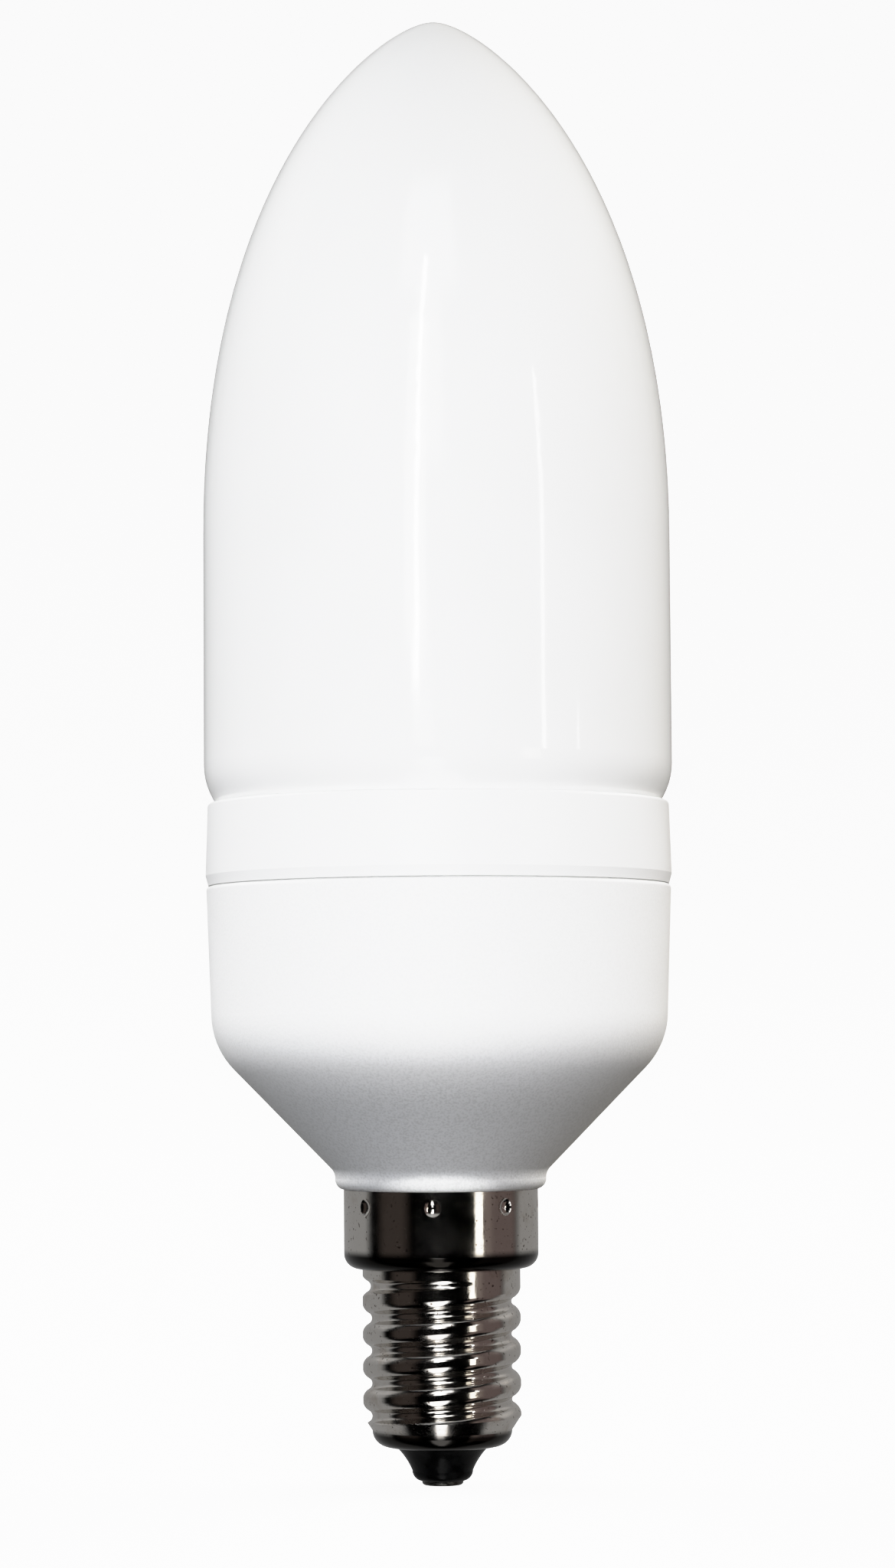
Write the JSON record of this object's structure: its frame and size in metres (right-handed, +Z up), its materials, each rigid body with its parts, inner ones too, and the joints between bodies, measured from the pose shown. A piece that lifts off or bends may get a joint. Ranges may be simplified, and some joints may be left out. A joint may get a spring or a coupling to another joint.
{
  "type": "candle bulb",
  "caption": "Compact candle lamp: an opal candle-shaped envelope on a white collar and coned ballast housing, with a small nickel-plated screw cap and a black insulator.",
  "frame": {"origin": "middle of the centre contact's underside, on the lamp's axis", "axes": "+Z up the lamp's axis from the cap to the candle tip, -Y towards the picture's viewer, +X to the viewer's right"},
  "size_m": [0.0412, 0.0412, 0.1292],
  "materials": {
    "opal_glass": "opal, glossy outside",
    "collar_plastic": "white, satin",
    "housing_plastic": "white, fine grain",
    "nickel_plate": "bright nickel plate, lightly stained",
    "black_glass": "black, glossy",
    "contact_metal": "tinned, dull"
  },
  "bodies": {
    "root": {"envelope": "opal_glass", "collar": "collar_plastic", "housing": "housing_plastic", "screw_shell": "nickel_plate", "insulator": "black_glass", "centre_contact": "contact_metal"}
  },
  "joints": []
}
